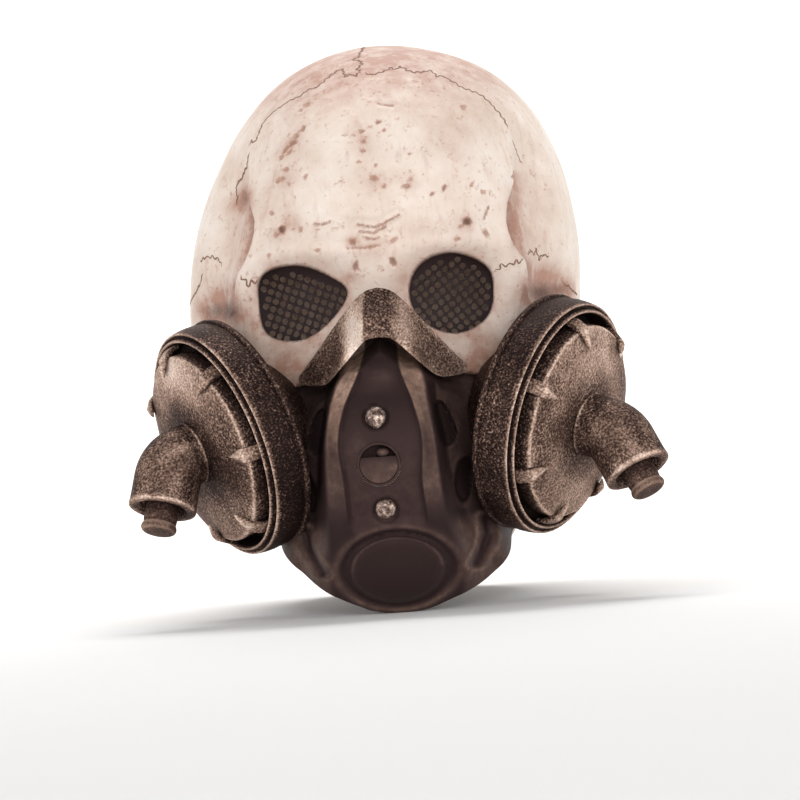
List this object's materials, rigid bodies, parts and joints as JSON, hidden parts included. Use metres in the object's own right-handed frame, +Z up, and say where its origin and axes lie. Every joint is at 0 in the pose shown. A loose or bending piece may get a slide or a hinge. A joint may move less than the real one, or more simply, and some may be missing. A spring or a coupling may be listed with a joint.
{
  "type": "skull mask with respirator",
  "caption": "Full-head latex skull mask with a sculpted respirator over nose and jaw, round filter canisters on the cheeks and perforated netting in the eye holes.",
  "frame": {"origin": "middle of the mask's footprint, on the surface that its neck rim and chin stand on", "axes": "+Z up to the crown, the face looks along -Y, +X to the viewer's right"},
  "size_m": [0.2499, 0.2693, 0.2727],
  "materials": {
    "bone": "satin cream latex with brown staining",
    "facepiece": "satin black-brown latex, dry-brushed ridges",
    "bronze": "dark brown latex with worn rose-bronze dry-brushing",
    "rivet": "latex stud painted as worn pewter",
    "netting": "matt black perforated sheet"
  },
  "bodies": {
    "root": {"skull_shell": "bone", "facepiece": "facepiece", "nose_guard": "bronze", "chin_cap": "facepiece", "port_cup": "facepiece", "rivet_upper": "rivet", "rivet_lower": "rivet", "eye_net_left": "netting", "eye_net_right": "netting", "drum_left": "bronze", "drum_right": "bronze", "lid_left": "bronze", "lid_right": "bronze", "elbow_left": "bronze", "elbow_right": "bronze", "plug_left": "bronze", "plug_right": "bronze"}
  },
  "joints": []
}
